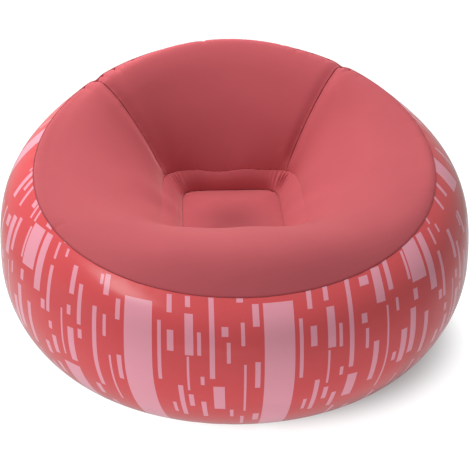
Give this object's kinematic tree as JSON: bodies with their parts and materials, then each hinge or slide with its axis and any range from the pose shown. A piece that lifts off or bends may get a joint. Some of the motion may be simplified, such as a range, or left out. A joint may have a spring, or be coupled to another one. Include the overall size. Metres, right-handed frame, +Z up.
{
  "type": "inflatable chair",
  "caption": "Round inflatable armchair with a flocked wrap of arms, front roll and back, a sunken seat and a printed gloss side wall.",
  "frame": {"origin": "middle of the footprint, on the floor", "axes": "+Z up; the sitter faces -Y; +X is to the right of someone who looks at the chair from the front"},
  "size_m": [1.1185, 1.1196, 0.6469],
  "materials": {
    "flocked_top": "matt flocked PVC, velvety, dusty coral red",
    "printed_gloss": "gloss PVC, coral red printed with broken pale pink vertical bars",
    "base_gloss": "plain satin-gloss PVC, coral red",
    "weld": "fused PVC seam, dark red, glossy",
    "inner_tie": "thin translucent PVC web",
    "valve_plastic": "soft moulded PVC, white",
    "valve_rubber": "soft moulded rubber"
  },
  "bodies": {
    "envelope": {"base_panel": "base_gloss", "side_wall": "printed_gloss", "arm_wrap_panel": "flocked_top", "back_panel": "flocked_top", "seat_band": "flocked_top", "seat_panel": "flocked_top", "base_weld": "weld", "rim_weld": "weld", "well_weld": "weld", "seat_weld": "weld", "back_weld_left": "weld", "back_weld_right": "weld", "wall_join_weld": "weld", "seat_tie_front": "inner_tie", "seat_tie_right": "inner_tie", "seat_tie_back": "inner_tie", "seat_tie_left": "inner_tie", "valve_flange": "valve_plastic"},
    "gasket_ring": {"valve_gasket": "valve_rubber"},
    "screw_core": {"valve_core": "valve_plastic"},
    "flap": {"check_flap": "valve_rubber"},
    "cap": {"valve_cap": "valve_plastic"}
  },
  "joints": [
    {"name": "valve_core_rise", "type": "slide", "parent": "envelope", "child": "gasket_ring", "axis": [0.3283, 0.8062, -0.4922], "range_m": [0, 0.007]},
    {"name": "valve_core_turn", "type": "hinge", "parent": "gasket_ring", "child": "screw_core", "pos_m": [0.19587, 0.47791, 0.10554], "axis": [0.3283, 0.8062, -0.4922], "range_deg": [0, 630.1]},
    {"name": "check_flap_swing", "type": "hinge", "parent": "screw_core", "child": "flap", "pos_m": [0.18318, 0.47434, 0.11012], "axis": [-0.1856, -0.4559, -0.8705], "range_deg": [0, 60], "stiffness_Nm_per_rad": 0.002, "springref_deg": -8.59},
    {"name": "valve_cap_open", "type": "hinge", "parent": "screw_core", "child": "cap", "pos_m": [0.17691, 0.49498, 0.10064], "axis": [0.1856, 0.4559, 0.8705], "range_deg": [0, 160]}
  ],
  "couplings": [
    {"joint": "valve_core_turn", "follows": "valve_core_rise", "rad_per_m": 1570.8}
  ]
}
